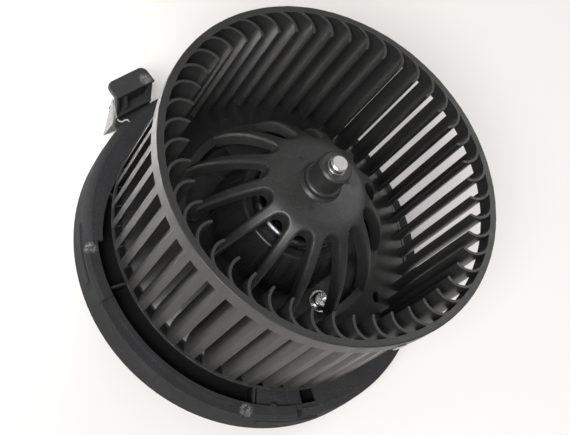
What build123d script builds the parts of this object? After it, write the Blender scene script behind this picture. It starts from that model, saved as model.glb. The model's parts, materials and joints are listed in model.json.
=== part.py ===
from build123d import *
from math import asin, atan2, cos, radians, sin, sqrt, tan
import os

# Blower motor wheel: a forward-curved impeller on a small DC motor, held in a bayonet mounting flange.
# Millimetres. Z is the shaft axis, pointing out of the intake. Z = 0 is the flange's bottom edge.

# Impeller cage
RIM_R = 76.0
CAGE_R = 73.2
RIM_TOP = 96.5
RIM_HEIGHT = 7.5
BLADES = 47
BLADE_T = 1.15
BLADE_INNER_R = 63.3
CAMBER_CENTRE = (65.3, 8.55)
CAMBER_R = 7.8
CAMBER_START = -103
CAMBER_SWEEP = 104
PLATE_T = 2.0
PLATE_HOLE = (56.3, 11.3, 2.35)
PLATE_R, PLATE_Z = 49.0, 38.5
PLATE_INNER_R, PLATE_OUTER_R = 45.2, 69.6
CAGE_FOOT = 23.5
FOOT_RING_INNER, FOOT_RING_OUTER, FOOT_RING_H = 72.2, 73.4, 1.0
RIM_OVERLAP, RIM_ROUND = 0.2, 0.6
CLIP_ANGLES = (331.8, 112)
CLIP_T, CLIP_HALF, CLIP_H = 0.5, 2.2, 3.5

# Impeller hub: a flat dome on thirteen curved arms
ARMS = 13
ARM_ANGLE = 90
ARM_FOOT_HALF = 1.6
ARM_DEPTH = 5.0
ARM_CENTRE = (-23.8, 18.84)
ARM_R = 75.9
ARM_FILLET = 1.4
SLOT_R, SLOT_END_R = 26.2, 3.6
DOME_MEET_R, DOME_INNER_R = 21.7, 18.0
DOME_BEND = 14.0
DOME_TOP = 81.0
DOME_T = 3.2
BOSS_ROOT = 1.0
BOSS_R, BOSS_TOP = 7.2, 95.8
STEP_R, STEP_TOP = 8.4, 84.7
BOSS_FOOT, BOSS_SINK = 70.0, 0.5
BOSS_CHAMFER, STEP_CHAMFER = 0.8, 0.5

# Shaft
SHAFT_R, SHAFT_END_R = 4.0, 3.8
SHAFT_FOOT, SHAFT_STEP, SHAFT_TOP = 12.0, 96.0, 99.0
SHAFT_CHAMFER = 0.6
RUNNING_GAP = 0.05

# Motor can, open at the bottom, with crimped lugs under the end cover
CAN_R, CAN_T = 22.8, 1.2
CAN_FOOT, CAN_TOP = 13.2, 64.5
CAN_INNER_R = CAN_R - CAN_T
CAN_SHOULDER = 2.8
CRIMPS = 6
CRIMP_WIDTH = 16
BEARING_R, BEARING_H = 7.2, 6.2
BEARING_BORE = SHAFT_R + RUNNING_GAP
NOSE_R, NOSE_TOP = 8.5, 68.5
CAP_T = 0.6
COVER_FOOT, COVER_TOP = 14.0, 16.5
COVER_BOSS_R, COVER_BOSS_FOOT = 9.0, 9.8
CARD_FOOT, CARD_TOP = 18.2, 20.0

# Armature
CORE_R = 16.6
CORE_FOOT, CORE_TOP = 34.0, 54.0
CORE_SLOTS = 12
CORE_SLOT_RING, CORE_SLOT_R, CORE_SLOT_MOUTH = 12.0, 2.2, 1.4
INSULATOR_T = 0.6
WIRE_GAP = 0.1
END_TURN_INNER, END_TURN_OUTER, END_TURN_H = 6.5, 15.0, 3.6
MAGNET_INNER, MAGNET_FOOT, MAGNET_TOP = 17.2, 32.0, 57.0
MAGNET_SPAN = 120
SLEEVE_R, SLEEVE_FOOT = 6.0, 19.5
COMM_R, COMM_FOOT, COMM_TOP = 9.0, 20.0, 29.2
COMM_GAP = 0.6
RISER_R, RISER_H = 10.2, 1.5

# Brush gear
BRUSH_HALF, BRUSH_H, BRUSH_FOOT = 2.5, 7.0, 20.7
BRUSH_TAIL = 15.0
HOLDER_T = 0.6
HOLDER_START, HOLDER_END = 10.7, 20.6
SPRING_R, SPRING_WIRE, SPRING_TURNS = 1.7, 0.25, 6
TERMINAL_X, TERMINAL_Y = 4.2, -14.5
TERMINAL_WIDTH, TERMINAL_T, TERMINAL_FOOT = 5.0, 0.8, 4.0
SHROUD_LENGTH, SHROUD_WIDTH, SHROUD_FOOT, SHROUD_T = 17.0, 8.6, 2.5, 1.2
CHOKE_ANGLES, CHOKE_RING = (55, 305), 16.5
CHOKE_R, CHOKE_H, CHOKE_TURNS = 1.4, 9.0, 6
CHOKE_WIRE, CHOKE_PITCH, CHOKE_START = 0.9, 1.1, 1.2
CAPACITOR_ANGLE, CAPACITOR_RING = 125, 16.2
CAPACITOR_T, CAPACITOR_WIDTH, CAPACITOR_H, CAPACITOR_ROUND = 3.2, 6.4, 5.6, 0.9

# Motor cup and its screws
CUP_TOP, CUP_TOP_R = 60.0, 26.6
CUP_KNEE, CUP_R = 42.0, 31.5
CUP_T = 2.0
CUP_COLLAR = 56.0
CUP_FLANGE_FOOT, CUP_FLANGE_TOP, CUP_FLANGE_R = 32.0, 34.0, 44.0
CUP_FLUTES = 18
CUP_FLUTE_WIDTH, CUP_FLUTE_DEPTH = 4.0, 0.9
CUP_INNER_RIBS = 6
SCREW_RING = 39.5
SCREW_ANGLES, PEG_ANGLES = (-17, 103), (223,)
SCREW_R, SCREW_FOOT = 2.0, 16.0
SCREW_HEAD_R, SCREW_HEAD_H, SCREW_HEAD_ROUND = 4.0, 2.6, 1.1
RECESS_HALF, RECESS_WIDTH, RECESS_DEPTH = 2.1, 0.9, 1.5
PEG_HEAD_R, PEG_HEAD_H, PEG_ROUND = 3.9, 1.8, 1.0
WASHER_R, WASHER_T = 5.2, 0.6

# Mounting flange. The wall is a plain register up to REGISTER_TOP and has moulding draft above it.
WALL_R, WALL_T = 84.3, 1.8
REGISTER_TOP = 8.0
BAND_R, BAND_TOP = 83.9, 16.0
LIP_INNER, LIP_OUTER, LIP_TOP = 78.5, 81.0, 18.5
FLOOR_FOOT, FLOOR_TOP, FLOOR_INNER = 8.0, 9.8, 62.0
LEDGE_FOOT, LEDGE_TOP = 22.0, 24.0
LEDGE_INNER, LEDGE_OUTER = 33.0, 48.0
SCREW_BOSS_R, SCREW_BOSS_FOOT = 4.8, 14.0
SHOULDER_R, SHOULDER_TOP = 80.6, 19.5
SHOULDER_BASE, SHOULDER_CURVE = 16.6, 4.6
SHOULDER_START, SHOULDER_END = 324, 233
DECK_START, DECK_END = 330, 231
DECK_INNER, DECK_EDGE, DECK_CROWN, DECK_T = 71.8, 18.6, 19.4, 1.6
DECK_CUT = ((72.0, 203.5), (74.5, 216.4), (76.3, 231.0))
LUG_PITCH, LUG_START, LUG_SWEEP = 72, 233.5, 16.5
LUGS = 4
LUG_INNER, LUG_OUTER, LUG_FOOT, LUG_TOP = 79.0, 84.9, 16.4, 19.5
LUG_CHAMFER = 1.6
GROOVE_FOOT, GROOVE_DEPTH, GROOVE_SPARE = 14.3, 0.8, 0.5
PAD_T, PAD_FOOT, PAD_TOP = 0.7, 8.5, 13.8
PADS = ((224.3, 242.6), (310.7, 330.3), (20, 40), (96, 116))
RIB_T, RIB_INNER, RIB_TOP = 0.9, 71.0, 17.6
RIBS = (213, 247, 308)
POCKET_START, POCKET_END, POCKET_INNER, POCKET_TOP, POCKET_T = 309, 325, 70.0, 17.6, 1.2
MOULD_SPOT_R, MOULD_SPOT_H = 2.1, 0.25
LUG_BUMP_R, LUG_BUMP_H = 1.7, 0.6

# Latch, in its own frame: X outwards, Y along the leaf, turned to LATCH_ANGLE
LATCH_ANGLE = 171
LATCH_Y, LATCH_HALF = 11.5, 10.4
LEAF_X, LEAF_T = 85.2, 1.6
BRACKET_FOOT, BRACKET_X = 8.6, 80.5
PIVOT_Z, PIVOT_GAP = 11.2, 0.15
POCKET_FLOOR, POCKET_FLOOR_T = 14.0, 1.5
BODY_X, BODY_T, CHEEK_T = 91.4, 1.7, 1.4
PLATE_FOOT, THUMB_T = 25.0, 1.9
THUMB_INNER, THUMB_OUTER, THUMB_HALF = 89.3, 98.2, 11.2
THUMB_CORNER, THUMB_ROUND = 3.4, 0.6
WEB_Y, WEB_T, WEB_NOSE = 4.6, 1.2, (85.9, 19.0)
MARK_X, MARK_Y, MARK_LENGTH, MARK_WIDTH, MARK_H = 92.0, -7.2, 4.0, 1.1, 0.3


def rod(radius, low, high):
    """An upright round bar between two heights."""
    return Pos(0, 0, low) * Cylinder(radius, high - low, align=(Align.CENTER, Align.CENTER, Align.MIN))


def tube(inner, outer, low, high):
    return rod(outer, low, high) - rod(inner, low, high)


def slab(sketch, low, high):
    return Pos(0, 0, low) * extrude(sketch, high - low)


def turned(*points, sweep=360):
    """A body of revolution from a (radius, height) outline."""
    return revolve(Plane.XZ * make_face(Polyline(*points, close=True)), Axis.Z, sweep)


def sector(inner, outer, start, end):
    """A flat piece of ring between two angles."""
    outside = CenterArc((0, 0), outer, start, end - start)
    inside = CenterArc((0, 0), inner, start, end - start)
    return make_face([outside, Line(outside @ 1, inside @ 1), inside, Line(inside @ 0, outside @ 0)])


def polar(radius, angle, height=0.0):
    return Pos(radius * cos(radians(angle)), radius * sin(radians(angle)), height) * Rot(0, 0, angle)


def around(piece, count, start=0.0):
    """Copies of a piece at an even pitch about the shaft axis."""
    return [Rot(0, 0, start + turn * 360 / count) * piece for turn in range(count)]


def box(x_low, x_high, y_low, y_high, z_low, z_high):
    return Pos(x_low, y_low, z_low) * Box(x_high - x_low, y_high - y_low, z_high - z_low,
                                          align=(Align.MIN, Align.MIN, Align.MIN))


def edges_at(solid, height, radius=None):
    """The edges that lie flat at one height, or only the circles of one radius there."""
    found = [edge for edge in solid.edges() if abs(edge.bounding_box().min.Z - height) < 1e-4
             and abs(edge.bounding_box().max.Z - height) < 1e-4]
    if radius is None:
        return found
    return [edge for edge in found if edge.geom_type == GeomType.CIRCLE and abs(edge.radius - radius) < 1e-4]


# ---- impeller ----

def cone_height(radius):
    """Height of the underside of the back plate's cone, which also trims the blades' feet."""
    return CAGE_FOOT + (PLATE_Z - CAGE_FOOT) * (CAGE_R - radius) / (CAGE_R - PLATE_R)


def blade():
    """One forward-curved blade, trimmed to the cage's outside and to the back plate's underside."""
    outside = CenterArc(CAMBER_CENTRE, CAMBER_R + BLADE_T / 2, CAMBER_START, CAMBER_SWEEP)
    inside = CenterArc(CAMBER_CENTRE, CAMBER_R - BLADE_T / 2, CAMBER_START, CAMBER_SWEEP)
    nose = ((outside @ 0) + (inside @ 0)) / 2
    band = make_face([outside, Line(outside @ 1, inside @ 1), inside, Line(inside @ 0, outside @ 0)])
    section = (band + Pos(nose.X, nose.Y) * Circle(BLADE_T / 2)) & Circle(CAGE_R)
    inner = BLADE_INNER_R - 2 * BLADE_T
    under = turned((inner, CAGE_FOOT - PLATE_T), (CAGE_R, CAGE_FOOT - PLATE_T), (CAGE_R, CAGE_FOOT),
                   (inner, cone_height(inner)))
    return slab(section, CAGE_FOOT, RIM_TOP) - under


def back_plate():
    """Flat ring that turns down into a cone under the blades."""
    edge = cone_height(PLATE_OUTER_R)
    plate = turned((PLATE_INNER_R, PLATE_Z), (PLATE_R, PLATE_Z), (PLATE_OUTER_R, edge),
                   (PLATE_OUTER_R, edge + PLATE_T), (PLATE_R, PLATE_Z + PLATE_T),
                   (PLATE_INNER_R, PLATE_Z + PLATE_T))
    radius, angle, hole_r = PLATE_HOLE
    return plate - polar(radius, angle) * rod(hole_r, CAGE_FOOT, PLATE_Z + PLATE_T)


def arm_height(radius, depth):
    """Height of the arms' outer (depth 0) or inner face at a radius."""
    return ARM_CENTRE[1] + sqrt((ARM_R - depth) ** 2 - (radius - ARM_CENTRE[0]) ** 2)


def arm_radius(height, depth):
    return ARM_CENTRE[0] + sqrt((ARM_R - depth) ** 2 - (height - ARM_CENTRE[1]) ** 2)


def hub_shell():
    """Dome and arms as one turned shell, with a soft bend where the flat dome meets the arms' curve."""
    foot = PLATE_Z + PLATE_T / 2
    under = DOME_TOP - DOME_T
    meet = (DOME_MEET_R, arm_height(DOME_MEET_R, 0))
    inner_top = (DOME_INNER_R, arm_height(DOME_INNER_R, ARM_DEPTH))
    outer = RadiusArc(meet, (arm_radius(foot, 0), foot), ARM_R)
    inner = RadiusArc(inner_top, (arm_radius(foot, ARM_DEPTH), foot), ARM_R - ARM_DEPTH)
    section = make_face([
        Line((SHAFT_R, DOME_TOP), (STEP_R, DOME_TOP)), Line((STEP_R, DOME_TOP), meet), outer,
        Line(outer @ 1, inner @ 1), inner, Line(inner_top, (DOME_INNER_R, under)),
        Line((DOME_INNER_R, under), (SHAFT_R, under)), Line((SHAFT_R, under), (SHAFT_R, DOME_TOP))])
    bend = [corner for corner in section.vertices() if abs(corner.X - meet[0]) < 0.01 and corner.Y > under]
    return revolve(Plane.XZ * fillet(bend, DOME_BEND), Axis.Z)


def arm_slot():
    """One slot: a round end near the dome and straight sides that leave the arms tapering outwards."""
    half_pitch = radians(180 / ARMS)
    foot_x = PLATE_R * cos(half_pitch) + ARM_FOOT_HALF * sin(half_pitch)
    foot_y = PLATE_R * sin(half_pitch) - ARM_FOOT_HALF * cos(half_pitch)
    reach = sqrt((foot_x - SLOT_R) ** 2 + foot_y ** 2)
    slope = atan2(foot_y, foot_x - SLOT_R) - asin(SLOT_END_R / reach)
    start = (SLOT_R - SLOT_END_R * sin(slope), SLOT_END_R * cos(slope))
    far = PLATE_R + 2 * ARM_DEPTH
    far_y = start[1] + (far - start[0]) * tan(slope)
    end = ThreePointArc((start[0], -start[1]), (SLOT_R - SLOT_END_R, 0), start)
    outline = [end, Line(start, (far, far_y)), Line((far, far_y), (far, -far_y)), Line((far, -far_y), end @ 0)]
    return slab(make_face(outline), PLATE_Z - PLATE_T, DOME_TOP)


def on_outer_face(edge):
    """True for a slot's edge on the outside of the arms and the dome."""
    for share in (0.25, 0.5, 0.75):
        point = edge @ share
        radius = sqrt(point.X ** 2 + point.Y ** 2)
        from_centre = sqrt((radius - ARM_CENTRE[0]) ** 2 + (point.Z - ARM_CENTRE[1]) ** 2)
        on_slot = radius > SLOT_R - SLOT_END_R - 0.2 and point.Z > PLATE_Z + PLATE_T / 2 + 0.01
        if not on_slot or from_centre < ARM_R - ARM_DEPTH / 2:
            return False
    return True


def arms():
    """Dome and thirteen arms, rounded along every slot's edge."""
    shell = hub_shell()
    for slot in around(arm_slot(), ARMS, ARM_ANGLE + 180 / ARMS):
        shell -= slot
    return fillet([edge for edge in shell.edges() if on_outer_face(edge)], ARM_FILLET)


def boss():
    """The stepped socket round the shaft, and its spigot under the dome."""
    low, inner = DOME_TOP - BOSS_SINK, STEP_R - BOSS_SINK
    step = chamfer(edges_at(rod(STEP_R, low, STEP_TOP), STEP_TOP), STEP_CHAMFER)
    socket = chamfer(edges_at(rod(BOSS_R, BOSS_FOOT, BOSS_TOP), BOSS_TOP), BOSS_CHAMFER)
    root = turned((inner, low), (STEP_R + BOSS_ROOT, low), (STEP_R + BOSS_ROOT, DOME_TOP - BOSS_SINK / 10),
                  (STEP_R, DOME_TOP + BOSS_ROOT), (inner, DOME_TOP + BOSS_ROOT))
    return step + socket + root - rod(SHAFT_R, BOSS_FOOT, BOSS_TOP)


def impeller():
    """The moulded wheel: rim, foot ring, back plate, hub and blades in one piece."""
    low = RIM_TOP - RIM_HEIGHT
    rim = tube(CAGE_R - RIM_OVERLAP, RIM_R, low, RIM_TOP)
    rim = fillet([*edges_at(rim, RIM_TOP, RIM_R), *edges_at(rim, low, RIM_R)], RIM_ROUND)
    foot = tube(FOOT_RING_INNER, FOOT_RING_OUTER, CAGE_FOOT, CAGE_FOOT + FOOT_RING_H)
    return rim.fuse(foot, back_plate(), arms(), boss(), *around(blade(), BLADES))


def balance_clip(angle):
    """A small steel clip pushed over the rim's lower edge."""
    low = RIM_TOP - RIM_HEIGHT
    arch = box(RIM_R, RIM_R + CLIP_T, -CLIP_HALF, CLIP_HALF, low - CLIP_T, low + CLIP_H)
    arch += box(CAGE_R, RIM_R + CLIP_T, -CLIP_HALF, CLIP_HALF, low - CLIP_T, low)
    return Rot(0, 0, angle) * arch


def shaft():
    """The motor shaft, with a slightly smaller free end above the boss."""
    bar = rod(SHAFT_R, SHAFT_FOOT, SHAFT_STEP) + rod(SHAFT_END_R, SHAFT_STEP, SHAFT_TOP)
    return chamfer([*edges_at(bar, SHAFT_TOP), *edges_at(bar, SHAFT_FOOT)], SHAFT_CHAMFER)


# ---- motor ----

def motor_can():
    body = rod(CAN_R, CAN_FOOT, CAN_TOP)
    body = fillet(edges_at(body, CAN_TOP), CAN_SHOULDER)
    nose = fillet(edges_at(rod(NOSE_R, CAN_TOP - 1, NOSE_TOP), NOSE_TOP), 1.2)
    inside = rod(CAN_INNER_R, CAN_FOOT, CAN_TOP - CAN_T)
    inside = fillet(edges_at(inside, CAN_TOP - CAN_T), CAN_SHOULDER - CAN_T)
    pocket = rod(BEARING_R, CAN_TOP - 2 * CAN_T, NOSE_TOP - CAN_T)
    shell = body + nose - inside - pocket - rod(SHAFT_R + 1, NOSE_TOP - 2 * CAN_T, NOSE_TOP)
    lug = slab(sector(CAN_INNER_R - 1.6, CAN_INNER_R + CAN_T / 2, -CRIMP_WIDTH / 2, CRIMP_WIDTH / 2),
               CAN_FOOT, COVER_FOOT)
    return shell.fuse(*around(lug, CRIMPS, 30))


def bearing(low):
    bush = tube(BEARING_BORE, BEARING_R, low, low + BEARING_H)
    return fillet([*edges_at(bush, low, BEARING_R), *edges_at(bush, low + BEARING_H, BEARING_R)], 1.2)


TOP_BEARING = NOSE_TOP - CAN_T - BEARING_H
BOTTOM_BEARING = CARD_FOOT - CAP_T - BEARING_H


def top_bearing_cap():
    """Pressed steel retainer: a flat collar against the can and a dished floor under the bush."""
    seat = CAN_TOP - CAN_T
    return turned((14, seat), (14, seat - CAP_T), (9.2, seat - CAP_T), (9.2, TOP_BEARING - CAP_T),
                  (5.2, TOP_BEARING - CAP_T), (5.2, TOP_BEARING), (8.6, TOP_BEARING), (8.6, seat))


def bottom_bearing_cap():
    return tube(5.2, COVER_BOSS_R, CARD_FOOT - CAP_T, CARD_FOOT)


def end_cover():
    """Moulded bell with the lower bearing's pocket, air vents and slots for the terminals."""
    cap_seat = CARD_FOOT - CAP_T
    body = rod(CAN_INNER_R, COVER_FOOT, COVER_TOP) + tube(19.6, CAN_INNER_R, COVER_TOP, CARD_FOOT)
    body += rod(COVER_BOSS_R, COVER_BOSS_FOOT, cap_seat)
    body -= rod(BEARING_R, BOTTOM_BEARING, cap_seat)
    body -= rod(SHAFT_R + 0.5, COVER_BOSS_FOOT + 1.2, cap_seat)
    for start in (25, 75, 125, 175):
        body -= slab(sector(11.5, 18, start, start + 28), COVER_FOOT, COVER_TOP)
    for blade_piece in terminals():
        body -= blade_piece
    return body


def thrust_pad():
    return rod(SHAFT_R, COVER_BOSS_FOOT + 1.2, SHAFT_FOOT - RUNNING_GAP)


def terminals():
    half = TERMINAL_WIDTH / 2
    return [box(side * TERMINAL_X - half, side * TERMINAL_X + half, TERMINAL_Y - TERMINAL_T / 2,
                TERMINAL_Y + TERMINAL_T / 2, TERMINAL_FOOT, CARD_FOOT) for side in (-1, 1)]


def connector_shroud():
    """A box that opens downwards round the two blades."""
    half, width = SHROUD_LENGTH / 2, SHROUD_WIDTH / 2
    shell = box(-half, half, TERMINAL_Y - width, TERMINAL_Y + width, SHROUD_FOOT, COVER_FOOT)
    shell -= box(SHROUD_T - half, half - SHROUD_T, TERMINAL_Y - width + SHROUD_T,
                 TERMINAL_Y + width - SHROUD_T, SHROUD_FOOT, COVER_FOOT - SHROUD_T)
    for blade_piece in terminals():
        shell -= blade_piece
    return shell


def magnet(angle):
    arc = sector(MAGNET_INNER, CAN_INNER_R, angle - MAGNET_SPAN / 2, angle + MAGNET_SPAN / 2)
    return slab(arc, MAGNET_FOOT, MAGNET_TOP)


def magnet_clip(angle):
    """A bent spring strip that pushes the two magnets apart."""
    gap = (180 - MAGNET_SPAN) / 2
    strip = sector(CAN_INNER_R - 0.6, CAN_INNER_R, angle - gap, angle + gap)
    for side in (-1, 1):
        edge = angle + side * gap
        inner_edge = edge - side * 1.8
        strip += sector(MAGNET_INNER + 1, CAN_INNER_R - 0.3, min(edge, inner_edge), max(edge, inner_edge))
    return slab(strip, MAGNET_FOOT + 3, MAGNET_TOP - 3)


def core_plan():
    """The lamination: a disc with closed-in slots for the wire."""
    plan = Circle(CORE_R) - Circle(SHAFT_R)
    slot = Pos(CORE_SLOT_RING, 0) * Circle(CORE_SLOT_R)
    slot += Pos((CORE_SLOT_RING + CORE_R + 1) / 2, 0) * Rectangle(CORE_R + 1 - CORE_SLOT_RING, CORE_SLOT_MOUTH)
    for cut in around(slot, CORE_SLOTS):
        plan -= cut
    return plan


def core_insulators():
    return [slab(core_plan(), CORE_FOOT - INSULATOR_T, CORE_FOOT),
            slab(core_plan(), CORE_TOP, CORE_TOP + INSULATOR_T)]


def windings():
    """Wire bundles through the slots, joined by rounded end turns."""
    low, high = CORE_FOOT - INSULATOR_T, CORE_TOP + INSULATOR_T
    ends = []
    for start in (low - END_TURN_H, high):
        ring = tube(END_TURN_INNER, END_TURN_OUTER, start, start + END_TURN_H)
        ends.append(fillet(edges_at(ring, start + END_TURN_H if start == high else start), 1.3))
    bundle = Pos(CORE_SLOT_RING, 0) * rod(CORE_SLOT_R - WIRE_GAP, low, high)
    return ends[0].fuse(ends[1], *around(bundle, CORE_SLOTS))


def commutator_bars():
    half = 180 / CORE_SLOTS
    trim = COMM_GAP / 2
    bar = slab(sector(SLEEVE_R, COMM_R, -half, half), COMM_FOOT, COMM_TOP)
    riser = slab(sector(COMM_R - 0.5, RISER_R, -half / 2, half / 2), COMM_TOP - RISER_H, COMM_TOP)
    piece = bar + riser
    for side in (-1, 1):
        slot = Rot(0, 0, side * half) * box(0, RISER_R + 1, -trim, trim, COMM_FOOT, COMM_TOP)
        piece -= slot
    return around(piece, CORE_SLOTS)


def thrust_washers():
    lower = tube(SHAFT_R, 6.5, SLEEVE_FOOT - 1.0, SLEEVE_FOOT)
    top_turn = CORE_TOP + INSULATOR_T + END_TURN_H
    upper = tube(SHAFT_R, END_TURN_INNER, CORE_TOP + INSULATOR_T, top_turn + 1.2)
    return [lower, upper]


def brush_card():
    return tube(COMM_R + 2, CAN_INNER_R, CARD_FOOT, CARD_TOP)


def brush_holder():
    """A folded brass box round one brush, closed at the back."""
    out = BRUSH_HALF + RUNNING_GAP + HOLDER_T
    inn = BRUSH_HALF + RUNNING_GAP
    floor, roof = BRUSH_FOOT - RUNNING_GAP, BRUSH_FOOT + BRUSH_H + RUNNING_GAP
    body = box(HOLDER_START, HOLDER_END, -out, out, CARD_TOP, roof + HOLDER_T)
    return body - box(HOLDER_START, HOLDER_END - HOLDER_T, -inn, inn, floor, roof)


def brush():
    block = box(COMM_R - 1, BRUSH_TAIL, -BRUSH_HALF, BRUSH_HALF, BRUSH_FOOT, BRUSH_FOOT + BRUSH_H)
    return block - rod(COMM_R + RUNNING_GAP, BRUSH_FOOT - 1, BRUSH_FOOT + BRUSH_H + 1)


def brush_spring():
    """A compression coil from the brush's tail to the holder's back."""
    length = HOLDER_END - HOLDER_T - BRUSH_TAIL - 2 * SPRING_WIRE - 0.1
    path = Helix(length / SPRING_TURNS, length, SPRING_R)
    wire = sweep(Plane(origin=path @ 0, z_dir=path % 0) * Circle(SPRING_WIRE), path)
    middle = BRUSH_FOOT + BRUSH_H / 2
    return Pos(BRUSH_TAIL + SPRING_WIRE + 0.05, 0, middle) * Rot(0, 90, 0) * wire


def choke(angle):
    """A ferrite rod with a wire coil round it."""
    coil = rod(CHOKE_R, CARD_TOP, CARD_TOP + CHOKE_H)
    for turn in range(CHOKE_TURNS):
        low = CARD_TOP + CHOKE_START + turn * CHOKE_PITCH
        coil += rod(CHOKE_R + CHOKE_WIRE, low, low + CHOKE_WIRE)
    return polar(CHOKE_RING, angle) * coil


def suppression_capacitor():
    body = Pos(CAPACITOR_RING, 0, CARD_TOP) * Box(CAPACITOR_T, CAPACITOR_WIDTH, CAPACITOR_H,
                                                  align=(Align.CENTER, Align.CENTER, Align.MIN))
    return Rot(0, 0, CAPACITOR_ANGLE) * fillet(body.edges().filter_by(Axis.Z), CAPACITOR_ROUND)


# ---- motor cup and its fixings ----

def motor_cup():
    """Fluted cup that holds the can at its collar, with a screw flange below."""
    wall = turned((CAN_R, CUP_COLLAR), (CAN_R, CUP_TOP), (CUP_TOP_R, CUP_TOP), (CUP_R, CUP_KNEE),
                  (CUP_R, CUP_FLANGE_TOP), (CUP_FLANGE_R, CUP_FLANGE_TOP), (CUP_FLANGE_R, CUP_FLANGE_FOOT),
                  (CUP_R - CUP_T, CUP_FLANGE_FOOT), (CUP_R - CUP_T, CUP_KNEE), (CAN_R + CUP_T, CUP_COLLAR))
    wall = fillet(edges_at(wall, CUP_TOP, CUP_TOP_R), 1.6)
    flute = Plane.XZ * make_face(Polyline(
        (CUP_TOP_R, CUP_TOP - 2), (CUP_TOP_R + CUP_FLUTE_DEPTH, CUP_TOP - 3),
        (CUP_R + CUP_FLUTE_DEPTH, CUP_KNEE), (CUP_R + CUP_FLUTE_DEPTH, CUP_FLANGE_FOOT),
        (CUP_R - CUP_T / 2, CUP_FLANGE_FOOT), (CUP_R - CUP_T / 2, CUP_KNEE), close=True))
    rib = extrude(flute, CUP_FLUTE_WIDTH / 2, both=True)
    inner_rib = box(CAN_R, CUP_R - CUP_T / 2, -0.8, 0.8, CUP_FLANGE_FOOT, CUP_KNEE)
    cup = wall.fuse(*around(rib, CUP_FLUTES), *around(inner_rib, CUP_INNER_RIBS, 15))
    cup += slab(sector(CUP_R, 42.3, 140, 170), CUP_FLANGE_FOOT, CUP_FLANGE_TOP + 4.6)
    cup += slab(sector(CUP_R, 41.5, 184.5, 188.5), CUP_FLANGE_FOOT, CUP_FLANGE_TOP + 2.5)
    for hole in at_fixings(rod(SCREW_R, CUP_FLANGE_FOOT, CUP_FLANGE_TOP)):
        cup -= hole
    return cup


def at_fixings(piece, angles=SCREW_ANGLES + PEG_ANGLES):
    """Copies of a piece at the cup's fixing points, or at some of them."""
    return [polar(SCREW_RING, angle) * piece for angle in angles]


def rubber_mount():
    """A bobbin that the cup floats on."""
    return turned((SCREW_R, LEDGE_TOP), (4.6, LEDGE_TOP), (4.6, LEDGE_TOP + 2.6), (3.4, LEDGE_TOP + 3.4),
                  (3.4, CUP_FLANGE_FOOT - 3.4), (4.6, CUP_FLANGE_FOOT - 2.6), (4.6, CUP_FLANGE_FOOT),
                  (SCREW_R, CUP_FLANGE_FOOT))


def mount_screw():
    seat = CUP_FLANGE_TOP + WASHER_T
    top = seat + SCREW_HEAD_H
    head = fillet(edges_at(rod(SCREW_HEAD_R, seat, top), top), SCREW_HEAD_ROUND)
    for angle in (0, 90):
        head -= Rot(0, 0, angle) * box(-RECESS_HALF, RECESS_HALF, -RECESS_WIDTH / 2, RECESS_WIDTH / 2,
                                       top - RECESS_DEPTH, top)
    shank = chamfer(edges_at(rod(SCREW_R, SCREW_FOOT, seat), SCREW_FOOT), SHAFT_CHAMFER)
    return head + shank


def snap_peg():
    """A plastic push-in peg that holds the third bobbin."""
    top = CUP_FLANGE_TOP + PEG_HEAD_H
    head = fillet(edges_at(rod(PEG_HEAD_R, CUP_FLANGE_TOP, top), top), PEG_ROUND)
    shank = chamfer(edges_at(rod(SCREW_R, SCREW_FOOT, CUP_FLANGE_TOP), SCREW_FOOT), SHAFT_CHAMFER)
    return head + shank


def mount_washer():
    return tube(SCREW_R, WASHER_R, CUP_FLANGE_TOP, CUP_FLANGE_TOP + WASHER_T)


# ---- mounting flange ----

def flange_ring():
    """Outer wall, band, lip, channel floor, rise and ledge in one turned section."""
    skin = WALL_T
    outline = (
        (WALL_R - skin, 0), (WALL_R, 0), (WALL_R, REGISTER_TOP), (BAND_R, BAND_TOP), (LIP_OUTER, BAND_TOP),
        (LIP_OUTER, LIP_TOP), (LIP_INNER, LIP_TOP), (LIP_INNER, FLOOR_TOP), (FLOOR_INNER, FLOOR_TOP),
        (LEDGE_OUTER, LEDGE_TOP), (LEDGE_INNER, LEDGE_TOP), (LEDGE_INNER, LEDGE_FOOT),
        (LEDGE_OUTER - skin, LEDGE_FOOT), (FLOOR_INNER - skin, FLOOR_FOOT), (LIP_INNER + skin, FLOOR_FOOT),
        (LIP_INNER + skin, BAND_TOP - skin), (WALL_R - skin, BAND_TOP - skin))
    return turned(*outline)


def shoulder():
    """The rounded fall from the lip to the wall, everywhere but at the open band."""
    crown, base = (SHOULDER_R, SHOULDER_TOP), (BAND_R, SHOULDER_BASE)
    outline = [
        Line((SHOULDER_R, BAND_TOP), crown), RadiusArc(crown, base, SHOULDER_CURVE),
        Line(base, (BAND_R, BAND_TOP)), Line((BAND_R, BAND_TOP), (SHOULDER_R, BAND_TOP))]
    sweep_angle = 360 - SHOULDER_START + SHOULDER_END
    return Rot(0, 0, SHOULDER_START) * revolve(Plane.XZ * make_face(outline), Axis.Z, sweep_angle)


def deck():
    """The sheet that covers the channel behind the latch, cut back where the channel opens."""
    outline = ((DECK_INNER, DECK_EDGE), (LIP_OUTER, DECK_CROWN), (LIP_OUTER, LIP_TOP - DECK_T),
               (DECK_INNER, DECK_EDGE - DECK_T))
    sheet = Rot(0, 0, DECK_START) * turned(*outline, sweep=360 - DECK_START + DECK_END)
    places = [polar(radius, angle).position for radius, angle in DECK_CUT]
    corners = [polar(LEDGE_OUTER, DECK_CUT[-1][1]).position, polar(LEDGE_OUTER, DECK_CUT[0][1]).position]
    edge = ThreePointArc(*places)
    plan = make_face([edge, Line(places[-1], corners[0]), Line(*corners), Line(corners[1], places[0])])
    return sheet - slab(plan, FLOOR_TOP, SHOULDER_TOP)


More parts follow.
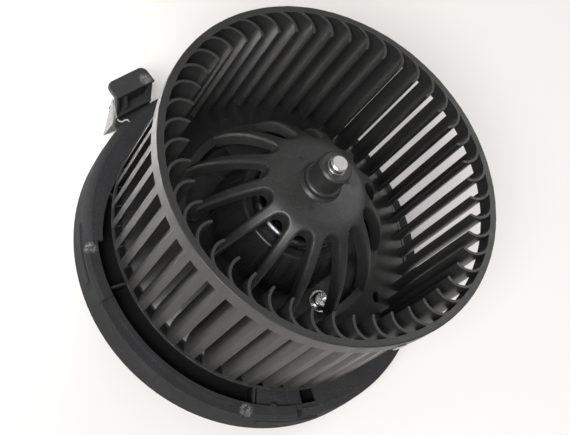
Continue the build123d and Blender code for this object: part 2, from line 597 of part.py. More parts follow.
def bayonet_lug(start):
    """A raised tooth that turns under the housing's catches."""
    block = slab(sector(LUG_INNER, LUG_OUTER, start, start + LUG_SWEEP), LUG_FOOT, LUG_TOP)
    return chamfer(edges_at(block, LUG_TOP, LUG_OUTER), LUG_CHAMFER)


def lug_groove(start):
    """The groove cut into the band below a tooth."""
    plan = sector(WALL_R - GROOVE_DEPTH, WALL_R + 1, start - GROOVE_SPARE, start + LUG_SWEEP + GROOVE_SPARE)
    return slab(plan, GROOVE_FOOT, LUG_FOOT)


def thin_rib(angle):
    return Rot(0, 0, angle) * box(RIB_INNER, LIP_INNER + RIB_T / 2, -RIB_T / 2, RIB_T / 2,
                                  FLOOR_TOP - RIB_T, RIB_TOP)


def mould_pocket():
    """The closed box beside the bottom tooth, with an ejector mark on it and a bump on the tooth."""
    start, end = POCKET_START, POCKET_END
    top = slab(sector(POCKET_INNER, LIP_INNER + RIB_T / 2, start, end), POCKET_TOP - POCKET_T, POCKET_TOP)
    side = slab(sector(POCKET_INNER, POCKET_INNER + POCKET_T, start, end), FLOOR_TOP - RIB_T, POCKET_TOP)
    middle = (POCKET_INNER + LIP_INNER) / 2
    spot = polar(middle, (start + end) / 2) * rod(MOULD_SPOT_R, POCKET_TOP, POCKET_TOP + MOULD_SPOT_H)
    bump = polar(LUG_INNER + LUG_BUMP_R / 2, start + 5) * rod(LUG_BUMP_R, LUG_FOOT, LUG_TOP + LUG_BUMP_H)
    return [top, side, spot, bump]


def latch_bracket():
    """The shelf outside the wall that the latch's leaf grows from."""
    low, high = LATCH_Y - LATCH_HALF, LATCH_Y + LATCH_HALF
    shelf = box(BRACKET_X, LEAF_X + LEAF_T, low, high, BRACKET_FOOT, PIVOT_Z - LEAF_T / 2 - PIVOT_GAP)
    return Rot(0, 0, LATCH_ANGLE) * shelf - rod(WALL_R - WALL_T / 2, BRACKET_FOOT, PIVOT_Z)


def mounting_flange():
    starts = [LUG_START + turn * LUG_PITCH for turn in range(LUGS)]
    pads = [slab(sector(BAND_R - PAD_T, WALL_R + PAD_T, *span), PAD_FOOT, PAD_TOP) for span in PADS]
    bosses = at_fixings(rod(SCREW_BOSS_R, SCREW_BOSS_FOOT, (LEDGE_FOOT + LEDGE_TOP) / 2))
    body = flange_ring().fuse(shoulder(), deck(), *[bayonet_lug(start) for start in starts])
    for start in starts:
        body -= lug_groove(start)
    body = body.fuse(*pads, *[thin_rib(angle) for angle in RIBS], *mould_pocket(), latch_bracket(), *bosses)
    for hole in at_fixings(rod(SCREW_R, SCREW_FOOT, LEDGE_TOP)):
        body -= hole
    return body


def latch():
    """A leaf that stands beside the wall and carries a boxed thumb plate."""
    low, high = LATCH_Y - LATCH_HALF, LATCH_Y + LATCH_HALF
    floor = POCKET_FLOOR
    foot = Pos(LEAF_X + LEAF_T / 2, LATCH_Y, PIVOT_Z) * Rot(90, 0, 0) * Cylinder(LEAF_T / 2, 2 * LATCH_HALF)
    piece = foot + box(LEAF_X, LEAF_X + LEAF_T, low, high, PIVOT_Z, floor + POCKET_FLOOR_T)
    piece += box(LEAF_X, BODY_X, low, high, floor, floor + POCKET_FLOOR_T)
    piece += box(BODY_X - BODY_T, BODY_X, low, high, floor, PLATE_FOOT)
    cheek = Plane.XZ * make_face(Polyline((LEAF_X, floor), (BODY_X, floor), (BODY_X, PLATE_FOOT),
                                          (THUMB_INNER, PLATE_FOOT), close=True))
    for side in (low, high - CHEEK_T):
        piece += Pos(0, side, 0) * extrude(cheek, -CHEEK_T)
    web = Plane.XZ * make_face(Polyline((LEAF_X + LEAF_T, floor), (BODY_X, floor), (BODY_X, PLATE_FOOT),
                                        (THUMB_INNER, PLATE_FOOT), WEB_NOSE, close=True))
    piece += Pos(0, LATCH_Y + WEB_Y, 0) * extrude(web, -WEB_T)
    return Rot(0, 0, LATCH_ANGLE) * (piece + thumb_plate())


def thumb_plate():
    """The plate that a thumb presses, with rounded outer corners and a small raised mark."""
    top = PLATE_FOOT + THUMB_T
    low, high = LATCH_Y - THUMB_HALF, LATCH_Y + THUMB_HALF
    plate = box(THUMB_INNER, THUMB_OUTER, low, high, PLATE_FOOT, top)
    outer = [edge for edge in plate.edges().filter_by(Axis.Z) if edge.center().X > THUMB_INNER + 1]
    plate = fillet(outer, THUMB_CORNER)
    plate = fillet(edges_at(plate, top), THUMB_ROUND)
    mark = Pos(MARK_X, LATCH_Y + MARK_Y, top) * Box(MARK_WIDTH, MARK_LENGTH, 2 * MARK_H)
    return plate + mark


def mirrored(piece):
    return Rot(0, 0, 180) * piece


PIECES = {
    "impeller": impeller(),
    "shaft": shaft(),
    "balance_clips": [balance_clip(angle) for angle in CLIP_ANGLES],
    "motor_can": motor_can(),
    "end_cover": end_cover(),
    "top_bearing": bearing(TOP_BEARING),
    "bottom_bearing": bearing(BOTTOM_BEARING),
    "top_bearing_cap": top_bearing_cap(),
    "bottom_bearing_cap": bottom_bearing_cap(),
    "thrust_pad": thrust_pad(),
    "magnets": [magnet(90), magnet(270)],
    "magnet_clips": [magnet_clip(0), magnet_clip(180)],
    "armature_core": slab(core_plan(), CORE_FOOT, CORE_TOP),
    "core_insulators": core_insulators(),
    "windings": windings(),
    "commutator_core": tube(SHAFT_R, SLEEVE_R, SLEEVE_FOOT, COMM_TOP + 1.0),
    "commutator_bars": commutator_bars(),
    "thrust_washers": thrust_washers(),
    "brush_card": brush_card(),
    "brush_holder_right": brush_holder(),
    "brush_holder_left": mirrored(brush_holder()),
    "brush_right": brush(),
    "brush_left": mirrored(brush()),
    "brush_spring_right": brush_spring(),
    "brush_spring_left": mirrored(brush_spring()),
    "chokes": [choke(angle) for angle in CHOKE_ANGLES],
    "suppression_capacitor": suppression_capacitor(),
    "terminals": terminals(),
    "connector_shroud": connector_shroud(),
    "motor_cup": motor_cup(),
    "rubber_mounts": at_fixings(rubber_mount()),
    "mount_washers": at_fixings(mount_washer(), SCREW_ANGLES),
    "mount_screws": at_fixings(mount_screw(), SCREW_ANGLES),
    "snap_peg": at_fixings(snap_peg(), PEG_ANGLES),
    "mounting_flange": mounting_flange(),
    "latch": latch(),
}

os.makedirs("parts", exist_ok=True)
for name, piece in PIECES.items():
    shape = Compound(children=piece) if isinstance(piece, list) else piece
    export_step(shape, f"parts/{name}.step")
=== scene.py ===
import json
import random
from math import cos, radians, sin, tau

import bmesh
import bpy
from mathutils import Matrix, Vector


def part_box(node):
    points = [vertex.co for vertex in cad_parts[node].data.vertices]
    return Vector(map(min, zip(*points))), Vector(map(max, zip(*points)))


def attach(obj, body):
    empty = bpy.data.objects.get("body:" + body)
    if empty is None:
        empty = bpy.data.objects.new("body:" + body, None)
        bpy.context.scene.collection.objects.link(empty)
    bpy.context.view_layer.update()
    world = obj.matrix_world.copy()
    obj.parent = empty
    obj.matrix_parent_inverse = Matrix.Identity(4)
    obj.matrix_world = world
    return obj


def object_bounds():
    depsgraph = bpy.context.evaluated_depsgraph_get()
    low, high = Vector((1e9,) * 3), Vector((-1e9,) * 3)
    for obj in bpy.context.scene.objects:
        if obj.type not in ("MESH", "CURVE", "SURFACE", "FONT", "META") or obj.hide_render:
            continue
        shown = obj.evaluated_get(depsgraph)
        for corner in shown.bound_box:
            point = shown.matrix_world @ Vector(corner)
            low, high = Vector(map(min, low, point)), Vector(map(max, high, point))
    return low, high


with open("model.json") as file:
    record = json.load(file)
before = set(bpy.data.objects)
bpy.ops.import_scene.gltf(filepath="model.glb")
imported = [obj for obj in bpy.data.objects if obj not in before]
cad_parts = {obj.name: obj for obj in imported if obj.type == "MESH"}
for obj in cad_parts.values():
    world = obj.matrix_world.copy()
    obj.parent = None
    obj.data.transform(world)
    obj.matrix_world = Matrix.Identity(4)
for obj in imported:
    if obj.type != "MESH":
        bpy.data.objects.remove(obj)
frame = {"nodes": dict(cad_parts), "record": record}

MM = 0.001
CAD_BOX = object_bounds()
NODES = frame["nodes"]
WHEEL_LOW, WHEEL_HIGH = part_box("impeller")

# Places that the details sit on, as the CAD has them
BLADES = 47
RIM_R = WHEEL_HIGH[0]
RIM_TOP = WHEEL_HIGH[2]
CAGE_FOOT = WHEEL_LOW[2]
FOOT_RING_R = 72.2 * MM
PLATE_EDGE_R = 69.6 * MM
PLATE_MARK_R, PLATE_MARK_TOP = 54 * MM, 37.6 * MM
FLOOR_MARK_R, FLANGE_FLOOR_TOP = 70 * MM, 8.0 * MM
GATE_R, DOME_TOP = 13.2 * MM, 81.0 * MM
CHANNEL_R, CHANNEL_TOP = 79.5 * MM, 14.5 * MM
LATCH_ANGLE = 171
LUG_PITCH, LUG_START, LUGS = 72, 233.5, 4
LUG_END_R, LUG_TOP = 82 * MM, 17.8 * MM

# Painted shade: the share of its own colour that the flange's plastic keeps down in the channel, where little
# light reaches
CHANNEL_PAINTED_SHADE = 0.25

# Camera
LENS, SENSOR = 64.23, 36.0
ELEVATION, ROLL, DISTANCE = radians(55.309), radians(45.657), 0.40994
AIM = Vector((0.09, -24.45, 79.5)) * MM

# Studio
WORLD_STRENGTH = 0.34
FLOOR_HALF, FLOOR_DROP = 3.0, 0.02 * MM
FLOOR_TONE = (0.93, 0.905, 0.875, 1.0)
WIDE, NARROW = 180.0, 42.0

# How large the marks on moulded plastic are
CLOUD, SINK, STREAK, RUB, DUST = 18 * MM, 9 * MM, 5 * MM, 2.2 * MM, 0.5 * MM
RUBBED_EDGE, SINK_DEPTH = 0.35 * MM, 0.05 * MM
SCUFF_REACH, SCRATCH = 3.4 * MM, 0.7 * MM

# Sockets of the Mix node when it mixes colours
MIX_FIRST, MIX_SECOND, MIX_RESULT = 6, 7, 2


def polar(radius, angle, height):
    """A point from a radius, an angle in degrees and a height."""
    return Vector((radius * cos(radians(angle)), radius * sin(radians(angle)), height))


def latch_point(outwards, along, height):
    """A point in the latch's own frame, given in millimetres."""
    return polar(outwards * MM, LATCH_ANGLE, height * MM) + polar(along * MM, LATCH_ANGLE + 90, 0.0)


LUG_ENDS = [polar(LUG_END_R, LUG_START + turn * LUG_PITCH, LUG_TOP) for turn in range(LUGS)]
THUMB_MARK = latch_point(91.8, 4.2, 27.1)


# ---- shader helpers ----

class Finish:
    """A Principled material and short calls for the nodes that vary it."""

    def __init__(self, name, metallic=0.0, **sockets):
        self.material = bpy.data.materials.new(name)
        self.material.use_nodes = True
        self.tree = self.material.node_tree
        self.shader = self.tree.nodes["Principled BSDF"]
        self.shader.inputs["Metallic"].default_value = metallic
        for socket, value in sockets.items():
            self.shader.inputs[socket.replace("_", " ")].default_value = value
        self.place = self.node("ShaderNodeTexCoord").outputs["Object"]

    def node(self, kind, **settings):
        made = self.tree.nodes.new(kind)
        for key, value in settings.items():
            setattr(made, key, value)
        return made

    def link(self, start, end):
        self.tree.links.new(start, end)

    def stretched(self, scale):
        """Object coordinates scaled differently along each axis."""
        mapping = self.node("ShaderNodeMapping")
        mapping.inputs["Scale"].default_value = scale
        self.link(self.place, mapping.inputs["Vector"])
        return mapping.outputs["Vector"]

    def noise(self, size, detail=3.0, rough=0.55, vector=None):
        """Noise whose blobs are about `size` metres across."""
        made = self.node("ShaderNodeTexNoise")
        made.inputs["Scale"].default_value = 1.0 / size
        made.inputs["Detail"].default_value = detail
        made.inputs["Roughness"].default_value = rough
        self.link(vector or self.place, made.inputs["Vector"])
        return made.outputs["Fac"]

    def speckle(self, size, vector=None):
        made = self.node("ShaderNodeTexVoronoi")
        made.inputs["Scale"].default_value = 1.0 / size
        self.link(vector or self.place, made.inputs["Vector"])
        return made.outputs["Distance"]

    def span(self, value, low, high, to_low, to_high):
        made = self.node("ShaderNodeMapRange")
        limits = {"From Min": low, "From Max": high, "To Min": to_low, "To Max": to_high}
        for socket, number in limits.items():
            made.inputs[socket].default_value = number
        self.link(value, made.inputs["Value"])
        return made.outputs["Result"]

    def vary(self, noise, to_low, to_high):
        """The middle range of a noise spread over the given values."""
        return self.span(noise, 0.3, 0.7, to_low, to_high)

    def maths(self, operation, first, second):
        made = self.node("ShaderNodeMath", operation=operation)
        for socket, value in zip(made.inputs, (first, second)):
            if isinstance(value, (int, float)):
                socket.default_value = value
            else:
                self.link(value, socket)
        return made.outputs[0]

    def blend(self, factor, first, second):
        """Colour between two colours or colour outputs."""
        made = self.node("ShaderNodeMix", data_type="RGBA")
        self.link(factor, made.inputs["Factor"])
        for socket, value in ((made.inputs[MIX_FIRST], first), (made.inputs[MIX_SECOND], second)):
            if isinstance(value, tuple):
                socket.default_value = (*value, 1.0)
            else:
                self.link(value, socket)
        return made.outputs[MIX_RESULT]

    def edge(self, width, low=0.02, high=0.16):
        """1 on convex and concave edges, 0 on open faces."""
        rounded = self.node("ShaderNodeBevel", samples=4)
        rounded.inputs["Radius"].default_value = width
        flat = self.node("ShaderNodeNewGeometry")
        dot = self.node("ShaderNodeVectorMath", operation="DOT_PRODUCT")
        self.link(rounded.outputs["Normal"], dot.inputs[0])
        self.link(flat.outputs["Normal"], dot.inputs[1])
        return self.span(self.maths("SUBTRACT", 1.0, dot.outputs["Value"]), low, high, 0.0, 1.0)

    def scuff(self, place, reach=SCUFF_REACH):
        """Scratched white round one point, fading out at `reach`."""
        away = self.node("ShaderNodeVectorMath", operation="DISTANCE")
        self.link(self.place, away.inputs[0])
        away.inputs[1].default_value = place
        near = self.span(away.outputs["Value"], reach * 0.45, reach, 1.0, 0.0)
        scratches = self.noise(SCRATCH, 4, 0.7, self.stretched((1.0, 1.0, 0.35)))
        return self.maths("MULTIPLY", near, self.span(scratches, 0.42, 0.6, 0.0, 1.6))

    def painted_well_shade(self, radius, height, shade):
        """Painted shade: a factor of `shade` inside a radius and below a height, where little light reaches;
        1 elsewhere.
        """
        flat = self.node("ShaderNodeVectorMath", operation="LENGTH")
        self.link(self.stretched((1.0, 1.0, 0.0)), flat.inputs[0])
        split = self.node("ShaderNodeSeparateXYZ")
        self.link(self.place, split.inputs["Vector"])
        inside = self.span(flat.outputs["Value"], radius, radius + MM, 1.0, 0.0)
        below = self.span(split.outputs["Z"], height, height + 2 * MM, 1.0, 0.0)
        return self.span(self.maths("MULTIPLY", inside, below), 0.0, 1.0, 1.0, shade)

    def colour(self, output):
        self.link(output, self.shader.inputs["Base Color"])

    def roughness(self, output):
        self.link(output, self.shader.inputs["Roughness"])

    def bump(self, *layers, radius=0.0):
        """Stacks (height output, depth in metres) layers, over a rounded-edge normal if a radius is given."""
        normal = None
        if radius:
            rounded = self.node("ShaderNodeBevel", samples=4)
            rounded.inputs["Radius"].default_value = radius
            normal = rounded.outputs["Normal"]
        for value, depth in layers:
            made = self.node("ShaderNodeBump")
            made.inputs["Strength"].default_value = 1.0
            made.inputs["Distance"].default_value = depth
            self.link(value, made.inputs["Height"])
            if normal is not None:
                self.link(normal, made.inputs["Normal"])
            normal = made.outputs["Normal"]
        self.link(normal, self.shader.inputs["Normal"])


def shaded(tone, share):
    """A colour made darker or lighter by one factor."""
    return tuple(channel * share for channel in tone)


def moulded_plastic(name, tone, pale, rough, gloss=0.5, grain=0.35 * MM, grain_depth=0.012 * MM, wear=0.25,
                    round_by=0.25 * MM, scuffs=(), painted_shade_well=None):
    """Dark moulded plastic: talc speckle, flow streaks, satin grain, rubbed edges, scuffed places and painted
    shade in a well.

    The painted shade well gives the radius and height of a space round the axis, and the share of the colour
    kept there as painted shade.
    """
    finish = Finish(name, Specular_IOR_Level=gloss)
    cloud = finish.vary(finish.noise(CLOUD, 4), 0.0, 1.0)
    base = finish.blend(cloud, tone, shaded(tone, 1.28))
    dust = finish.span(finish.noise(DUST, 2, 0.7), 0.58, 0.75, 0.0, 0.35)
    base = finish.blend(dust, base, pale)
    patches = finish.span(finish.noise(RUB, 5, 0.7), 0.42, 0.66, 0.0, wear)
    scratched = finish.maths("MULTIPLY", finish.edge(RUBBED_EDGE), patches)
    for place in scuffs:
        scratched = finish.maths("MAXIMUM", scratched, finish.scuff(place))
    if painted_shade_well:
        # Painted shade: the colour goes nearly black inside the well, where little light reaches
        base = finish.blend(finish.painted_well_shade(*painted_shade_well), shaded(tone, 0.1), base)
    finish.colour(finish.blend(scratched, base, pale))
    streaks = finish.noise(STREAK, 4, 0.6, finish.stretched((1.0, 1.0, 0.22)))
    finish.roughness(finish.span(streaks, 0.3, 0.72, rough - 0.07, rough + 0.1))
    sink = finish.noise(SINK, 2)
    finish.bump((finish.noise(grain, 2, 0.5), grain_depth), (sink, SINK_DEPTH), radius=round_by)
    return finish.material


def machined_steel(name, tone, rough, axis_scale=(1.0, 1.0, 0.03), depth=0.004 * MM, stain=0.18):
    """Bright metal with fine tool lines, faint stains and worn patches."""
    finish = Finish(name, metallic=1.0)
    stains = finish.span(finish.noise(3 * MM, 5, 0.65), 0.4, 0.7, 0.0, stain)
    finish.colour(finish.blend(stains, tone, shaded(tone, 0.55)))
    lines = finish.noise(0.12 * MM, 3, 0.6, finish.stretched(axis_scale))
    finish.roughness(finish.vary(lines, rough - 0.06, rough + 0.14))
    finish.bump((lines, depth), (finish.noise(1.6 * MM, 4, 0.7), depth), radius=0.15 * MM)
    return finish.material


def plated_steel(name, tone, rough):
    """Zinc plate: soft crystal mottle and small pits."""
    finish = Finish(name, metallic=1.0)
    spangle = finish.span(finish.speckle(1.8 * MM), 0.0, 0.7, 0.0, 1.0)
    finish.colour(finish.blend(spangle, tone, shaded(tone, 0.8)))
    finish.roughness(finish.vary(finish.noise(2.5 * MM, 5, 0.6), rough - 0.08, rough + 0.12))
    finish.bump((finish.noise(0.4 * MM, 3, 0.6), 0.008 * MM), radius=0.2 * MM)
    return finish.material


def sintered_metal(name, tone, rough):
    finish = Finish(name, metallic=1.0)
    pores = finish.span(finish.speckle(0.35 * MM), 0.0, 0.45, 1.0, 0.0)
    finish.colour(finish.blend(pores, tone, shaded(tone, 0.35)))
    finish.roughness(finish.vary(finish.noise(1.2 * MM, 4), rough - 0.1, rough + 0.1))
    finish.bump((pores, -0.02 * MM))
    return finish.material


def dull_block(name, tone, rough, grit=0.3 * MM):
    """Ferrite, carbon and other pressed powders."""
    finish = Finish(name)
    cloud = finish.noise(4 * MM, 5, 0.6)
    finish.colour(finish.blend(cloud, tone, shaded(tone, 1.9)))
    finish.roughness(finish.vary(finish.noise(1.5 * MM, 4), rough - 0.1, rough + 0.08))
    finish.bump((finish.noise(grit, 4, 0.7), 0.03 * MM), radius=0.2 * MM)
    return finish.material


def laminated_steel(name, tone):
    """A stack of thin sheets, seen as fine rings along the shaft."""
    finish = Finish(name, metallic=1.0)
    wave = finish.node("ShaderNodeTexWave", bands_direction="Z")
    wave.inputs["Scale"].default_value = 1.0 / (2 * MM)
    wave.inputs["Distortion"].default_value = 0.4
    finish.link(finish.place, wave.inputs["Vector"])
    finish.colour(finish.blend(wave.outputs["Fac"], tone, shaded(tone, 0.5)))
    finish.roughness(finish.vary(finish.noise(2 * MM, 4), 0.35, 0.6))
    finish.bump((wave.outputs["Fac"], 0.05 * MM))
    return finish.material


def enamelled_wire(name, tone):
    """Many turns of varnished wire."""
    finish = Finish(name, metallic=0.7, Coat_Weight=0.6, Coat_Roughness=0.2)
    wave = finish.node("ShaderNodeTexWave", bands_direction="DIAGONAL")
    wave.inputs["Scale"].default_value = 1.0 / (2.4 * MM)
    wave.inputs["Distortion"].default_value = 3.0
    wave.inputs["Detail Scale"].default_value = 1.5
    finish.link(finish.place, wave.inputs["Vector"])
    finish.colour(finish.blend(wave.outputs["Fac"], shaded(tone, 0.35), tone))
    finish.roughness(finish.vary(finish.noise(2 * MM, 4), 0.25, 0.45))
    finish.bump((wave.outputs["Fac"], 0.15 * MM))
    return finish.material


def rubber(name):
    finish = Finish(name, Specular_IOR_Level=0.35)
    bloom = finish.span(finish.noise(3 * MM, 5, 0.7), 0.45, 0.75, 0.0, 0.5)
    finish.colour(finish.blend(bloom, (0.012, 0.012, 0.012), (0.05, 0.05, 0.048)))
    finish.roughness(finish.vary(finish.noise(1.5 * MM, 3), 0.6, 0.85))
    finish.bump((finish.noise(0.3 * MM, 3), 0.02 * MM), radius=0.3 * MM)
    return finish.material


def sheet_board(name, tone):
    """Pressed paper board with fibres and a satin resin face."""
    finish = Finish(name)
    fibres = finish.noise(0.8 * MM, 6, 0.7, finish.stretched((0.25, 1.0, 1.0)))
    finish.colour(finish.blend(fibres, tone, shaded(tone, 0.6)))
    finish.roughness(finish.vary(fibres, 0.4, 0.6))
    finish.bump((fibres, 0.02 * MM), radius=0.2 * MM)
    return finish.material


PALE = (0.2, 0.2, 0.205)
FINISHES = {
    "wheel_plastic": moulded_plastic("wheel_plastic", (0.021, 0.0206, 0.0202), PALE, 0.38, 0.48, wear=0.45),
    # The flange's plastic carries painted shade down in the channel
    "flange_plastic": moulded_plastic("flange_plastic", (0.03, 0.03, 0.0315), PALE, 0.6, 0.02, wear=0.4,
                                      scuffs=LUG_ENDS, painted_shade_well=(CHANNEL_R, CHANNEL_TOP, CHANNEL_PAINTED_SHADE)),
    "latch_plastic": moulded_plastic("latch_plastic", (0.03, 0.03, 0.031), PALE, 0.5, 0.2, wear=0.4,
                                    scuffs=[THUMB_MARK]),
    "cup_plastic": moulded_plastic("cup_plastic", (0.012, 0.012, 0.013), PALE, 0.36, 0.4),
    "cover_plastic": moulded_plastic("cover_plastic", (0.018, 0.018, 0.019), PALE, 0.46, 0.35),
    "connector_plastic": moulded_plastic("connector_plastic", (0.42, 0.42, 0.4), (0.6, 0.6, 0.58), 0.45,
                                         wear=0.1),
    "card_plastic": sheet_board("card_plastic", (0.32, 0.17, 0.07)),
    "shaft_steel": machined_steel("shaft_steel", (0.6, 0.59, 0.56), 0.3),
    "clip_steel": machined_steel("clip_steel", (0.5, 0.5, 0.5), 0.32, (1.0, 0.05, 1.0)),
    "can_steel": plated_steel("can_steel", (0.12, 0.12, 0.125), 0.3),
    "screw_steel": plated_steel("screw_steel", (0.72, 0.72, 0.7), 0.22),
    "bearing_bronze": sintered_metal("bearing_bronze", (0.5, 0.33, 0.17), 0.45),
    "magnet_ferrite": dull_block("magnet_ferrite", (0.03, 0.03, 0.033), 0.6),
    "core_steel": laminated_steel("core_steel", (0.4, 0.4, 0.42)),
    "insulator_plastic": sheet_board("insulator_plastic", (0.45, 0.07, 0.04)),
    "winding_copper": enamelled_wire("winding_copper", (0.62, 0.2, 0.06)),
    "commutator_copper": machined_steel("commutator_copper", (0.75, 0.38, 0.2), 0.3, (1.0, 1.0, 8.0)),
    "brush_carbon": dull_block("brush_carbon", (0.03, 0.029, 0.028), 0.5, 0.15 * MM),
    "holder_brass": machined_steel("holder_brass", (0.7, 0.52, 0.2), 0.32, (0.05, 1.0, 1.0)),
    "terminal_tin": plated_steel("terminal_tin", (0.66, 0.66, 0.64), 0.3),
    "mount_rubber": rubber("mount_rubber"),
    "capacitor_resin": moulded_plastic("capacitor_resin", (0.05, 0.17, 0.42), (0.2, 0.35, 0.6), 0.2,
                                       wear=0.1),
    "ferrite_coil": enamelled_wire("ferrite_coil", (0.5, 0.16, 0.05)),
}


def dress_nodes():
    """Gives every CAD node the finish of its record slot."""
    for part in frame["record"]["subparts"]:
        mesh = NODES[part["node"]].data
        mesh.materials.clear()
        mesh.materials.append(FINISHES[part["material_slot"]])


# ---- small moulded details ----

def add_piece(name, grid, body, slot, finish=None):
    """Turns a bmesh into a piece on a body, with its slot's finish unless another is given."""
    mesh = bpy.data.meshes.new(name)
    bmesh.ops.recalc_face_normals(grid, faces=grid.faces)
    grid.to_mesh(mesh)
    grid.free()
    mesh.shade_smooth()
    mesh.materials.append(finish or FINISHES[slot])
    piece = bpy.data.objects.new(name, mesh)
    bpy.context.scene.collection.objects.link(piece)
    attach(piece, body)
    return piece


def bead(grid, path, width, closed=False, sides=6):
    """A tube along a list of points; width is a number or one radius for each point."""
    widths = width if isinstance(width, list) else [width] * len(path)
    rings = []
    for index, point in enumerate(path):
        before = path[index - 1] if closed or index else point
        after = path[(index + 1) % len(path)] if closed or index + 1 < len(path) else point
        along = (after - before).normalized()
        side = along.cross(Vector((0.0, 0.0, 1.0)))
        side = side.normalized() if side.length > 0.01 else Vector((1.0, 0.0, 0.0))
        up = side.cross(along)
        turns = [tau * step / sides for step in range(sides)]
        rings.append([grid.verts.new(point + (side * cos(turn) + up * sin(turn)) * widths[index])
                      for turn in turns])
    spans = len(path) if closed else len(path) - 1
    for index in range(spans):
        first, second = rings[index], rings[(index + 1) % len(path)]
        for step in range(sides):
            far = (step + 1) % sides
            grid.faces.new((first[step], first[far], second[far], second[step]))
    if not closed:
        grid.faces.new(rings[0])
        grid.faces.new(rings[-1])


def circle(centre, radius, steps=20):
    return [centre + polar(radius, 360 * step / steps, 0.0) for step in range(steps)]


def blade_foot_webs():
    """A thin thread of plastic in each gap between blades, from the foot ring to the back plate's edge."""
    share_of_pitch = 0.78
    # Radius, rise above the cage's foot, half thickness
    stations = ((FOOT_RING_R + 0.6 * MM, 0.7 * MM, 0.26 * MM),
                (FOOT_RING_R - 0.8 * MM, 2.0 * MM, 0.17 * MM),
                (PLATE_EDGE_R - 0.6 * MM, 4.2 * MM, 0.2 * MM))
    grid = bmesh.new()
    for blade in range(BLADES):
        angle = 360 * (blade + share_of_pitch) / BLADES
        path = [polar(radius, angle, CAGE_FOOT + rise) for radius, rise, _ in stations]
        bead(grid, path, [half for _, _, half in stations])
    add_piece("blade_foot_webs", grid, "rotor", "wheel_plastic")


def rim_flash():
    """The parting line's thin raised flash round the rim's outer top edge, uneven as moulded."""
    seed, steps = 7, 240
    inset, drop = 0.12 * MM, 0.32 * MM
    thinnest, thickest = 0.1, 0.22
    grid = bmesh.new()
    draw = random.Random(seed)
    path = [polar(RIM_R - inset, 360 * step / steps, RIM_TOP - drop) for step in range(steps)]
    bead(grid, path, [draw.uniform(thinnest, thickest) * MM for _ in range(steps)], closed=True)
    add_piece("rim_flash", grid, "rotor", "wheel_plastic")


def ring_of_marks(name, marks, first, radius, height, mark_r, body, slot):
    """Raised rings on a flat face, evenly spaced round the axis."""
    thread = 0.09 * MM
    grid = bmesh.new()
    for turn in range(marks):
        centre = polar(radius, first + 360 // marks * turn, height)
        bead(grid, circle(centre, mark_r), thread, closed=True)
    add_piece(name, grid, body, slot)


def ejector_marks():
    """Witness rings that the mould's ejector pins leave on flat faces."""
    ring_of_marks("ejector_marks_wheel", 6, 41, PLATE_MARK_R, PLATE_MARK_TOP, 1.6 * MM,
                  "rotor", "wheel_plastic")
    ring_of_marks("ejector_marks_flange", 10, 18, FLOOR_MARK_R, FLANGE_FLOOR_TOP, 2.2 * MM,
                  "mount", "flange_plastic")


def hub_gate_scars():
    """Three nipped-off feed points on the dome, beside the boss."""
    gates, first = 3, 52
    ring_r, thread = 0.75 * MM, 0.11 * MM
    below, above = Vector((0, 0, 0.2 * MM)), Vector((0, 0, 0.22 * MM))
    grid = bmesh.new()
    for turn in range(gates):
        centre = polar(GATE_R, first + 360 // gates * turn, DOME_TOP + 0.02 * MM)
        bead(grid, circle(centre, ring_r, 14), thread, closed=True)
        bead(grid, [centre - below, centre + above], [0.45 * MM, 0.25 * MM], sides=9)
    add_piece("hub_gate_scars", grid, "rotor", "wheel_plastic")


def pale_painted_light():
    """Painted light: a pale grey with uneven cloud, standing in for lit backdrop and glare beside the latch.
    """
    finish = Finish("pale_painted_light", Specular_IOR_Level=0.4)
    cloud = finish.vary(finish.noise(4 * MM, 5, 0.65), 0.0, 1.0)
    finish.colour(finish.blend(cloud, (0.24, 0.24, 0.235), (0.5, 0.49, 0.47)))
    finish.roughness(finish.vary(finish.noise(1.5 * MM, 4), 0.4, 0.65))
    finish.bump((finish.noise(1.2 * MM, 4, 0.6), 0.06 * MM))
    return finish.material


def latch_bead(grid, stations, sides=6):
    """A tube through (outwards, along, height, half thickness) stations in the latch's frame."""
    path = [latch_point(*station[:3]) for station in stations]
    bead(grid, path, [station[3] * MM for station in stations], sides=sides)


def leaf(grid, corners, thickness):
    """A thin three-cornered slab, its second face moved outwards from the first."""
    front, back = [[grid.verts.new(latch_point(x + shift, y, z)) for x, y, z in corners]
                   for shift in (0.0, thickness)]
    grid.faces.new(front)
    grid.faces.new(back)
    for index in range(3):
        after = (index + 1) % 3
        grid.faces.new((front[index], front[after], back[after], back[index]))


def latch_painted_glare(finish):
    """A thin pale sheet beside the latch's left cheek, painted in as lit backdrop and glare, and the pale
    edge that it hangs from, a painted highlight.
    """
    grid = bmesh.new()
    latch_bead(grid, ((91.1, 22.0, 23.2, 0.2), (89.0, 22.0, 20.0, 0.25),
                      (87.2, 22.0, 17.3, 0.25), (85.3, 22.0, 15.0, 0.3)))
    top, tip, fold = (92.0, 22.3, 23.0), (84.0, 27.0, 3.8), (84.3, 24.3, 12.4)
    cheek, foot, low = (87.8, 22.1, 18.2), (85.3, 22.1, 13.4), (83.2, 18.9, 3.6)
    film = ((top, tip, fold), (top, fold, cheek), (cheek, fold, foot), (fold, tip, low), (fold, low, foot))
    for corners in film:
        leaf(grid, corners, 0.1)
    piece = add_piece("latch_painted_glare", grid, "latch", "latch_plastic", finish)
    piece.data.shade_flat()


def bracket_lip_painted_highlight(finish):
    """A torn lip that curls from the latch's bracket over the flange's shoulder, pale as a painted highlight.
    """
    grid = bmesh.new()
    latch_bead(grid, ((84.7, 21.9, 14.6, 0.25), (83.6, 21.4, 13.9, 0.4), (82.6, 20.6, 14.2, 0.42),
                      (82.3, 19.3, 15.3, 0.42), (81.2, 19.5, 17.6, 0.4), (79.4, 20.2, 19.2, 0.12)), sides=8)
    add_piece("bracket_lip_painted_highlight", grid, "mount", "flange_plastic", finish)


# ---- studio ----

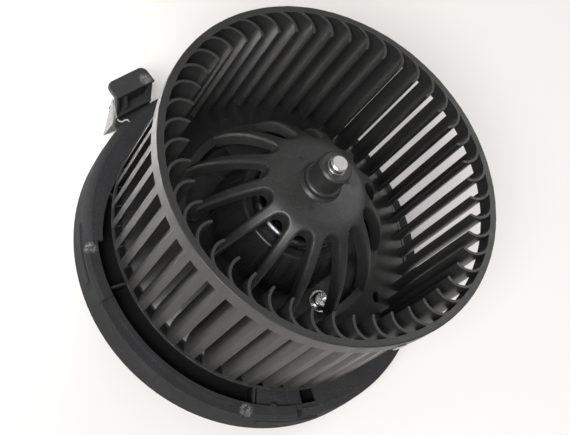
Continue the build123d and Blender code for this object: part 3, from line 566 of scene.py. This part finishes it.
def camera():
    """The view over the intake from the front, rolled so that the shaft leans to the upper right."""
    data = bpy.data.cameras.new("camera")
    data.lens = LENS
    data.sensor_width = SENSOR
    data.clip_start = 0.01
    made = bpy.data.objects.new("camera", data)
    bpy.context.scene.collection.objects.link(made)
    back = Vector((0.0, -cos(ELEVATION), sin(ELEVATION)))
    level = Vector((1.0, 0.0, 0.0))
    upright = back.cross(level)
    right = level * cos(ROLL) + upright * sin(ROLL)
    up = upright * cos(ROLL) - level * sin(ROLL)
    turned = Matrix((right, up, back)).transposed().to_4x4()
    made.matrix_world = Matrix.Translation(AIM + back * DISTANCE) @ turned
    bpy.context.scene.camera = made


def area_light(name, place, aim, size, power, beam=WIDE, sheen_only=False):
    """A round light that the camera doesn't see; sheen_only keeps it to reflections."""
    data = bpy.data.lights.new(name, "AREA")
    data.shape = "DISK"
    data.spread = radians(beam)
    data.size = size
    data.energy = power
    made = bpy.data.objects.new(name, data)
    made.location = place
    made.rotation_euler = (Vector(aim) - Vector(place)).to_track_quat("-Z", "Y").to_euler()
    made.visible_camera = False
    made.visible_diffuse = not sheen_only
    bpy.context.scene.collection.objects.link(made)


def floor():
    mesh = bpy.data.meshes.new("floor")
    grid = bmesh.new()
    bmesh.ops.create_grid(grid, x_segments=1, y_segments=1, size=FLOOR_HALF)
    grid.to_mesh(mesh)
    grid.free()
    made = bpy.data.objects.new("floor", mesh)
    made.location = (0, 0, CAD_BOX[0][2] - FLOOR_DROP)
    bpy.context.scene.collection.objects.link(made)
    finish = Finish("floor_white", Roughness=0.6)
    finish.shader.inputs["Base Color"].default_value = FLOOR_TONE
    mesh.materials.append(finish.material)


def studio():
    world = bpy.data.worlds.new("studio")
    world.use_nodes = True
    background = world.node_tree.nodes["Background"]
    background.inputs["Color"].default_value = (1.0, 1.0, 1.0, 1.0)
    background.inputs["Strength"].default_value = WORLD_STRENGTH
    bpy.context.scene.world = world
    bpy.context.scene.view_settings.view_transform = "Standard"
    area_light("softbox", (0.0, -1.2, 1.3), (0, 0, 0), 0.9, 31.0)
    area_light("key", (-0.4, -0.2, 0.45), (-0.26, -0.13, 0), 0.1, 0.8, beam=NARROW)
    area_light("reflector", (-0.145, -0.05, 0.003), (-0.08, -0.03, 0.1), 0.12, 0.33, sheen_only=True)
    area_light("back", (0.3, 0.9, 0.9), (0, 0, 0), 0.6, 2.5)


dress_nodes()
blade_foot_webs()
rim_flash()
ejector_marks()
hub_gate_scars()
# A pale finish that paints glare and highlights beside the latch
painted_light_finish = pale_painted_light()
latch_painted_glare(painted_light_finish)
bracket_lip_painted_highlight(painted_light_finish)
floor()
camera()
studio()
